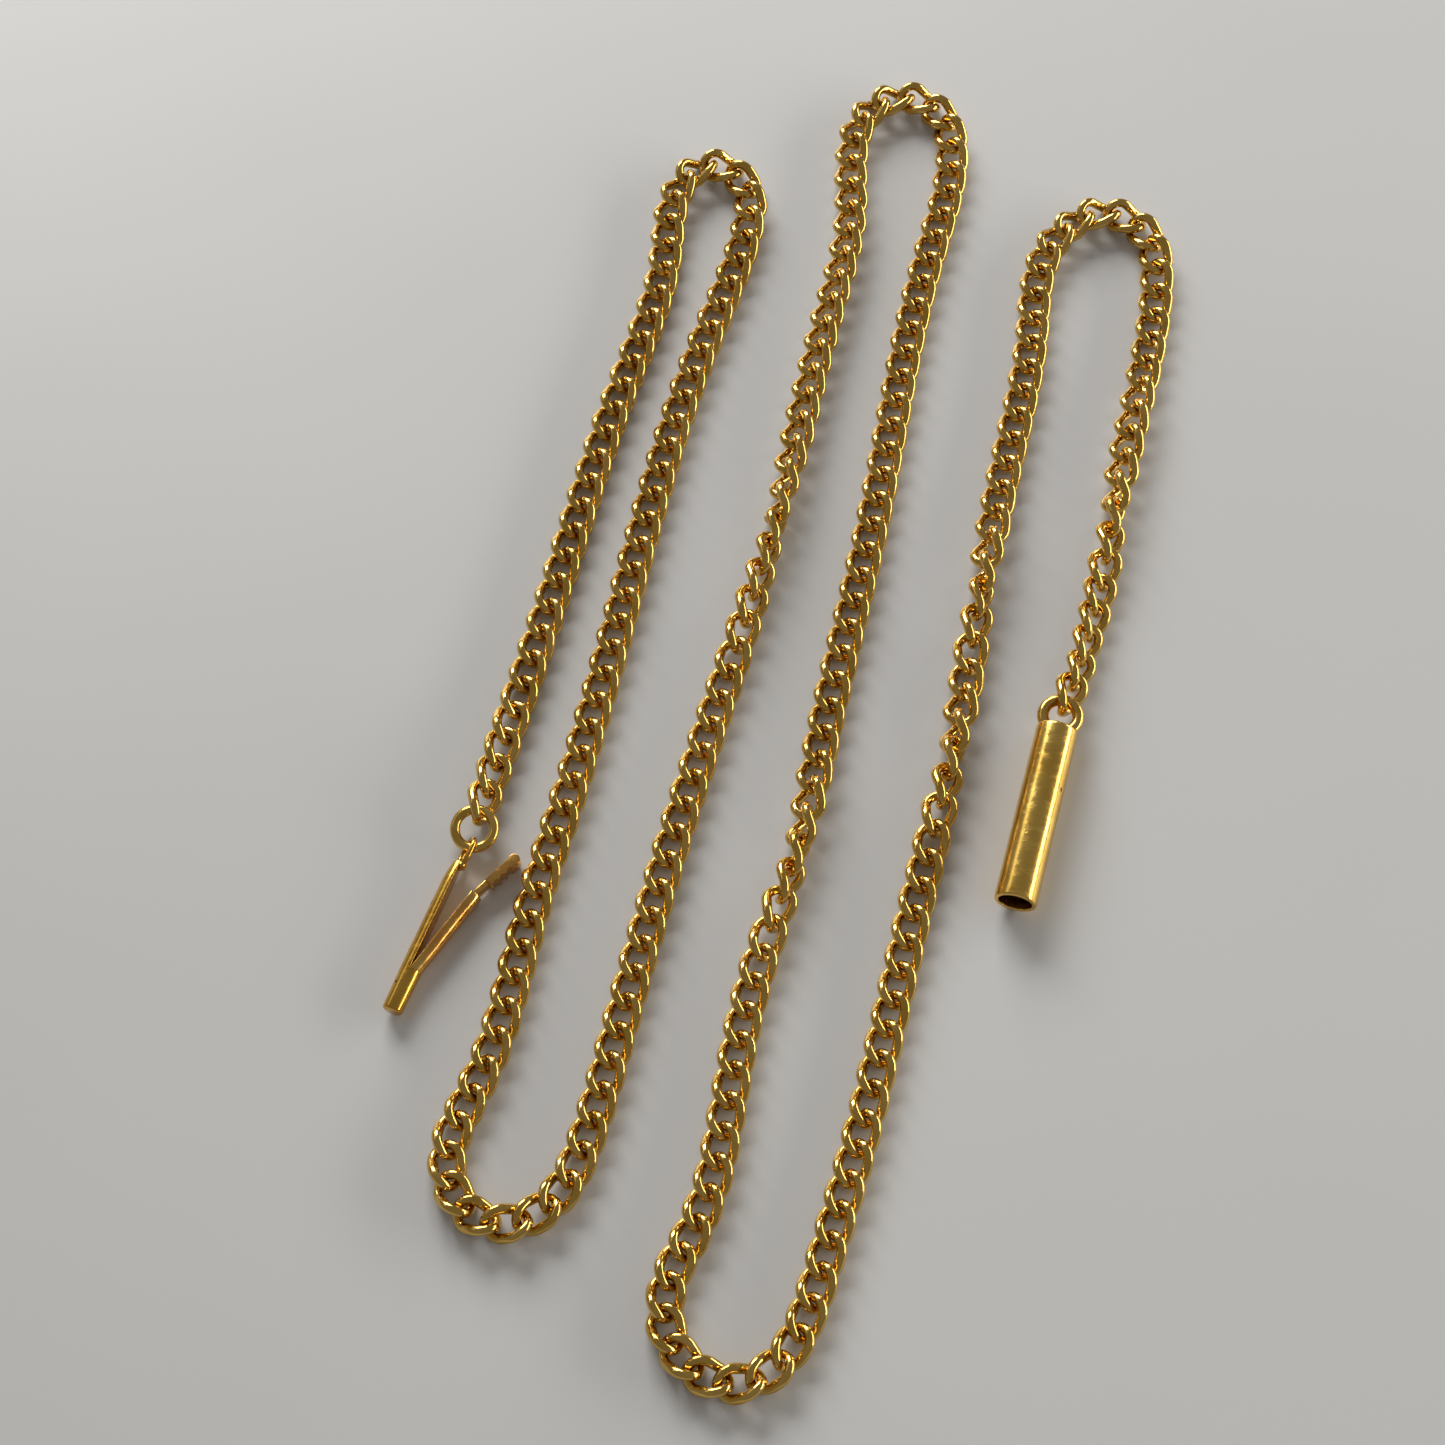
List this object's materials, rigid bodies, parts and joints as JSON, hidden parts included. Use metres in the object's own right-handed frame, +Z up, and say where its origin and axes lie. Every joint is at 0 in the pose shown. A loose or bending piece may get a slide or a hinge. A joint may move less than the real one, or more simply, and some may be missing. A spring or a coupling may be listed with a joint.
{
  "type": "pocket watch chain",
  "caption": "Long curb-link chain in polished yellow gold with a barrel snap: a folded sprung tongue on a jump ring pushes into a tubular barrel at the other end.",
  "frame": {"origin": "centre of the laid-out chain's bounding box, on the surface that it lies on", "axes": "+Z up from the surface, +Y along the long strands towards the three upper bends, +X towards the barrel's side"},
  "size_m": [0.0712, 0.1272, 0.0037],
  "materials": {
    "chain_gold": "polished yellow gold wire, softly worn",
    "barrel_gold": "polished yellow gold tube with fine scratches and small pits",
    "ring_gold": "polished yellow gold ring wire with pale solder at the joins",
    "tongue_gold": "half-round yellow gold strip, filed and lightly scratched"
  },
  "bodies": {
    "links_run_01": {"curb_links_01": "chain_gold"},
    "links_run_02": {"curb_links_02": "chain_gold"},
    "links_run_03": {"curb_links_03": "chain_gold"},
    "links_run_04": {"curb_links_04": "chain_gold"},
    "links_run_05": {"curb_links_05": "chain_gold"},
    "links_run_06": {"curb_links_06": "chain_gold"},
    "links_run_07": {"curb_links_07": "chain_gold"},
    "links_run_08": {"curb_links_08": "chain_gold"},
    "links_run_09": {"curb_links_09": "chain_gold"},
    "links_run_10": {"curb_links_10": "chain_gold"},
    "links_run_11": {"curb_links_11": "chain_gold"},
    "links_run_12": {"curb_links_12": "chain_gold"},
    "links_run_13": {"curb_links_13": "chain_gold"},
    "links_run_14": {"curb_links_14": "chain_gold"},
    "links_run_15": {"curb_links_15": "chain_gold"},
    "links_run_16": {"curb_links_16": "chain_gold"},
    "links_run_17": {"curb_links_17": "chain_gold"},
    "links_run_18": {"curb_links_18": "chain_gold"},
    "links_run_19": {"curb_links_19": "chain_gold"},
    "links_run_20": {"curb_links_20": "chain_gold"},
    "links_run_21": {"curb_links_21": "chain_gold"},
    "links_run_22": {"curb_links_22": "chain_gold"},
    "links_run_23": {"curb_links_23": "chain_gold"},
    "links_run_24": {"curb_links_24": "chain_gold"},
    "links_run_25": {"curb_links_25": "chain_gold"},
    "links_run_26": {"curb_links_26": "chain_gold"},
    "links_run_27": {"curb_links_27": "chain_gold"},
    "links_run_28": {"curb_links_28": "chain_gold"},
    "links_run_29": {"curb_links_29": "chain_gold"},
    "links_run_30": {"curb_links_30": "chain_gold"},
    "links_run_31": {"curb_links_31": "chain_gold"},
    "links_run_32": {"curb_links_32": "chain_gold"},
    "links_run_33": {"curb_links_33": "chain_gold"},
    "links_run_34": {"curb_links_34": "chain_gold"},
    "links_run_35": {"curb_links_35": "chain_gold"},
    "links_run_36": {"curb_links_36": "chain_gold"},
    "links_run_37": {"curb_links_37": "chain_gold"},
    "links_run_38": {"curb_links_38": "chain_gold"},
    "links_run_39": {"curb_links_39": "chain_gold"},
    "links_run_40": {"curb_links_40": "chain_gold"},
    "links_run_41": {"curb_links_41": "chain_gold"},
    "links_run_42": {"curb_links_42": "chain_gold"},
    "links_run_43": {"curb_links_43": "chain_gold"},
    "links_run_44": {"curb_links_44": "chain_gold"},
    "links_run_45": {"curb_links_45": "chain_gold"},
    "links_run_46": {"curb_links_46": "chain_gold"},
    "links_run_47": {"curb_links_47": "chain_gold"},
    "jump_ring": {"jump_ring": "ring_gold"},
    "tongue": {"tongue_eye": "tongue_gold", "tongue_fixed_leaf": "tongue_gold", "tongue_tip": "tongue_gold"},
    "tongue_spring": {"tongue_spring_leaf": "tongue_gold", "thumb_piece": "tongue_gold"},
    "barrel": {"barrel_tube": "barrel_gold", "barrel_end_cap": "barrel_gold", "barrel_mouth_ring": "barrel_gold", "barrel_loop": "ring_gold"}
  },
  "joints": [
    {"name": "flex_24_25", "type": "hinge", "parent": "links_run_24", "child": "links_run_25", "pos_m": [0.01444, 0.05098, 0.00094], "axis": [-0.7322, 0.1065, 0.6727], "range_deg": [-20, 20]},
    {"name": "flex_25_26", "type": "hinge", "parent": "links_run_25", "child": "links_run_26", "pos_m": [0.01118, 0.03905, 0.00096], "axis": [-0.6914, 0.1518, -0.7064], "range_deg": [-20, 20]},
    {"name": "flex_26_27", "type": "hinge", "parent": "links_run_26", "child": "links_run_27", "pos_m": [0.00839, 0.02517, 0.00097], "axis": [-0.6949, 0.1294, 0.7074], "range_deg": [-20, 20]},
    {"name": "flex_27_28", "type": "hinge", "parent": "links_run_27", "child": "links_run_28", "pos_m": [0.00599, 0.01302, 0.00097], "axis": [-0.6892, 0.1578, -0.7072], "range_deg": [-20, 20]},
    {"name": "flex_28_29", "type": "hinge", "parent": "links_run_28", "child": "links_run_29", "pos_m": [0.00278, -0.00077, 0.00097], "axis": [0.6887, -0.162, -0.7067], "range_deg": [-20, 20]},
    {"name": "flex_29_30", "type": "hinge", "parent": "links_run_29", "child": "links_run_30", "pos_m": [0.00024, -0.01286, 0.00156], "axis": [0.2585, -0.0627, -0.964], "range_deg": [-16, 16]},
    {"name": "flex_30_31", "type": "hinge", "parent": "links_run_30", "child": "links_run_31", "pos_m": [-0.00383, -0.02636, 0.00106], "axis": [0.5683, -0.1093, -0.8155], "range_deg": [-20, 20]},
    {"name": "flex_31_32", "type": "hinge", "parent": "links_run_31", "child": "links_run_32", "pos_m": [-0.0065, -0.03843, 0.00098], "axis": [0.6925, -0.1241, 0.7107], "range_deg": [-20, 20]},
    {"name": "flex_32_33", "type": "hinge", "parent": "links_run_32", "child": "links_run_33", "pos_m": [-0.01048, -0.05192, 0.00098], "axis": [-0.6243, 0.2991, 0.7217], "range_deg": [-16, 16]},
    {"name": "flex_33_34", "type": "hinge", "parent": "links_run_33", "child": "links_run_34", "pos_m": [-0.00747, -0.06226, 0.00087], "axis": [0.1584, -0.7152, -0.6807], "range_deg": [-4, 20]},
    {"name": "flex_34_35", "type": "hinge", "parent": "links_run_34", "child": "links_run_35", "pos_m": [0.001, -0.05269, 0.00097], "axis": [0.6701, -0.2037, 0.7138], "range_deg": [-20, 20]},
    {"name": "flex_35_36", "type": "hinge", "parent": "links_run_35", "child": "links_run_36", "pos_m": [0.00456, -0.04084, 0.00096], "axis": [0.6837, -0.1798, -0.7072], "range_deg": [-20, 20]},
    {"name": "flex_36_37", "type": "hinge", "parent": "links_run_36", "child": "links_run_37", "pos_m": [0.00801, -0.02711, 0.00097], "axis": [-0.6866, 0.1666, -0.7077], "range_deg": [-20, 20]},
    {"name": "flex_37_38", "type": "hinge", "parent": "links_run_37", "child": "links_run_38", "pos_m": [0.01106, -0.01511, 0.00121], "axis": [-0.4001, 0.0368, 0.9158], "range_deg": [-20, 20]},
    {"name": "flex_38_39", "type": "hinge", "parent": "links_run_38", "child": "links_run_39", "pos_m": [0.01426, -0.00135, 0.00135], "axis": [-0.2187, -0.0077, -0.9758], "range_deg": [-20, 14]},
    {"name": "flex_39_40", "type": "hinge", "parent": "links_run_39", "child": "links_run_40", "pos_m": [0.01649, 0.01077, 0.00159], "axis": [-0.9764, 0.2158, 0.0112], "range_deg": [-20, 20]},
    {"name": "flex_40_41", "type": "hinge", "parent": "links_run_40", "child": "links_run_41", "pos_m": [0.01962, 0.02455, 0.00098], "axis": [0.6745, -0.1583, 0.7211], "range_deg": [-20, 20]},
    {"name": "flex_41_42", "type": "hinge", "parent": "links_run_41", "child": "links_run_42", "pos_m": [0.02203, 0.03668, 0.00097], "axis": [0.7083, -0.0715, -0.7023], "range_deg": [-20, 20]},
    {"name": "flex_42_43", "type": "hinge", "parent": "links_run_42", "child": "links_run_43", "pos_m": [0.02795, 0.04871, 0.00111], "axis": [0.3312, -0.4528, 0.8278], "range_deg": [-6, 20]},
    {"name": "flex_43_44", "type": "hinge", "parent": "links_run_43", "child": "links_run_44", "pos_m": [0.0339, 0.04055, 0.00103], "axis": [-0.6959, 0.1204, -0.708], "range_deg": [-20, 8]},
    {"name": "flex_44_45", "type": "hinge", "parent": "links_run_44", "child": "links_run_45", "pos_m": [0.0309, 0.02676, 0.00139], "axis": [0.9161, -0.2639, -0.3019], "range_deg": [-20, 20]},
    {"name": "flex_45_46", "type": "hinge", "parent": "links_run_45", "child": "links_run_46", "pos_m": [0.02813, 0.01469, 0.00158], "axis": [0.9644, -0.2049, -0.1671], "range_deg": [-20, 20]},
    {"name": "flex_46_47", "type": "hinge", "parent": "links_run_46", "child": "links_run_47", "pos_m": [0.02454, 0.001, 0.00154], "axis": [0.0959, -0.0185, 0.9952], "range_deg": [-12, 10]},
    {"name": "flex_24_23", "type": "hinge", "parent": "links_run_24", "child": "links_run_23", "pos_m": [0.01046, 0.06258, 0.00143], "axis": [0.3436, 0.6572, 0.6708], "range_deg": [-20, 2]},
    {"name": "flex_23_22", "type": "hinge", "parent": "links_run_23", "child": "links_run_22", "pos_m": [0.00522, 0.05151, 0.00128], "axis": [-0.885, 0.0279, 0.4647], "range_deg": [-20, 20]},
    {"name": "flex_22_21", "type": "hinge", "parent": "links_run_22", "child": "links_run_21", "pos_m": [0.00307, 0.03848, 0.00134], "axis": [-0.9306, 0.2375, 0.2786], "range_deg": [-20, 20]},
    {"name": "flex_21_20", "type": "hinge", "parent": "links_run_21", "child": "links_run_20", "pos_m": [0.00024, 0.02643, 0.0013], "axis": [-0.3118, 0.0239, -0.9499], "range_deg": [-20, 20]},
    {"name": "flex_20_19", "type": "hinge", "parent": "links_run_20", "child": "links_run_19", "pos_m": [-0.00299, 0.01267, 0.00152], "axis": [0.6908, -0.1911, 0.6973], "range_deg": [-20, 20]},
    {"name": "flex_19_18", "type": "hinge", "parent": "links_run_19", "child": "links_run_18", "pos_m": [-0.00642, 0.00081, 0.00105], "axis": [0.6838, -0.2248, 0.6942], "range_deg": [-20, 20]},
    {"name": "flex_18_17", "type": "hinge", "parent": "links_run_18", "child": "links_run_17", "pos_m": [-0.01051, -0.01274, 0.00097], "axis": [0.6779, -0.1996, -0.7075], "range_deg": [-20, 20]},
    {"name": "flex_17_16", "type": "hinge", "parent": "links_run_17", "child": "links_run_16", "pos_m": [-0.01376, -0.02469, 0.00096], "axis": [0.6855, -0.1731, 0.7072], "range_deg": [-20, 20]},
    {"name": "flex_16_15", "type": "hinge", "parent": "links_run_16", "child": "links_run_15", "pos_m": [-0.0172, -0.03842, 0.00096], "axis": [-0.6859, 0.1751, 0.7063], "range_deg": [-20, 20]},
    {"name": "flex_15_14", "type": "hinge", "parent": "links_run_15", "child": "links_run_14", "pos_m": [-0.02284, -0.04924, 0.00139], "axis": [0.0449, 0.794, -0.6063], "range_deg": [-20, 2]},
    {"name": "flex_14_13", "type": "hinge", "parent": "links_run_14", "child": "links_run_13", "pos_m": [-0.02885, -0.04011, 0.00098], "axis": [0.7947, -0.1873, 0.5774], "range_deg": [-4, 20]},
    {"name": "flex_13_12", "type": "hinge", "parent": "links_run_13", "child": "links_run_12", "pos_m": [-0.02473, -0.0285, 0.00098], "axis": [0.692, -0.1456, -0.7071], "range_deg": [-20, 20]},
    {"name": "flex_12_11", "type": "hinge", "parent": "links_run_12", "child": "links_run_11", "pos_m": [-0.02139, -0.01475, 0.00096], "axis": [-0.6814, 0.1884, -0.7072], "range_deg": [-9, 20]},
    {"name": "flex_11_10", "type": "hinge", "parent": "links_run_11", "child": "links_run_10", "pos_m": [-0.01824, -0.00279, 0.00096], "axis": [-0.6883, 0.1618, 0.7071], "range_deg": [-20, 20]},
    {"name": "flex_10_09", "type": "hinge", "parent": "links_run_10", "child": "links_run_09", "pos_m": [-0.01508, 0.01101, 0.00096], "axis": [-0.6901, 0.1555, -0.7068], "range_deg": [-20, 20]},
    {"name": "flex_09_08", "type": "hinge", "parent": "links_run_09", "child": "links_run_08", "pos_m": [-0.01221, 0.02305, 0.00097], "axis": [-0.6828, 0.1841, 0.7071], "range_deg": [-20, 20]},
    {"name": "flex_08_07", "type": "hinge", "parent": "links_run_08", "child": "links_run_07", "pos_m": [-0.00809, 0.03658, 0.00096], "axis": [0.6722, -0.2292, 0.704], "range_deg": [-20, 20]},
    {"name": "flex_07_06", "type": "hinge", "parent": "links_run_07", "child": "links_run_06", "pos_m": [-0.0043, 0.04837, 0.0011], "axis": [0.8845, 0.1056, -0.4545], "range_deg": [-4, 20]},
    {"name": "flex_06_05", "type": "hinge", "parent": "links_run_06", "child": "links_run_05", "pos_m": [-0.01206, 0.05016, 0.00121], "axis": [-0.7765, 0.4339, 0.4569], "range_deg": [-20, 4]},
    {"name": "flex_05_04", "type": "hinge", "parent": "links_run_05", "child": "links_run_04", "pos_m": [-0.01373, 0.03791, 0.00098], "axis": [-0.6694, 0.2129, -0.7118], "range_deg": [-20, 20]},
    {"name": "flex_04_03", "type": "hinge", "parent": "links_run_04", "child": "links_run_03", "pos_m": [-0.01797, 0.02441, 0.00097], "axis": [0.6765, -0.201, -0.7084], "range_deg": [-20, 20]},
    {"name": "flex_03_02", "type": "hinge", "parent": "links_run_03", "child": "links_run_02", "pos_m": [-0.02113, 0.01244, 0.00096], "axis": [0.6857, -0.1755, 0.7064], "range_deg": [-20, 20]},
    {"name": "flex_02_01", "type": "hinge", "parent": "links_run_02", "child": "links_run_01", "pos_m": [-0.02474, -0.00125, 0.00099], "axis": [0.6678, -0.1815, -0.7219], "range_deg": [-16, 12]},
    {"name": "jump_ring_swing", "type": "hinge", "parent": "links_run_01", "child": "jump_ring", "pos_m": [-0.02822, -0.01404, 0.00147], "axis": [0, 0, 1], "range_deg": [-40, 14]},
    {"name": "tongue_swing", "type": "hinge", "parent": "jump_ring", "child": "tongue", "pos_m": [-0.02884, -0.01641, 0.00108], "axis": [0.9675, -0.253, 0], "range_deg": [-80, 80]},
    {"name": "tongue_squeeze", "type": "hinge", "parent": "tongue", "child": "tongue_spring", "pos_m": [-0.03247, -0.02791, 0.00097], "axis": [0, 0, 1], "range_deg": [0, 8], "stiffness_Nm_per_rad": 0.02},
    {"name": "barrel_swing", "type": "hinge", "parent": "links_run_47", "child": "barrel", "pos_m": [0.02262, -0.00385, 0.00187], "axis": [0, 0, 1], "range_deg": [-15, 28]}
  ]
}
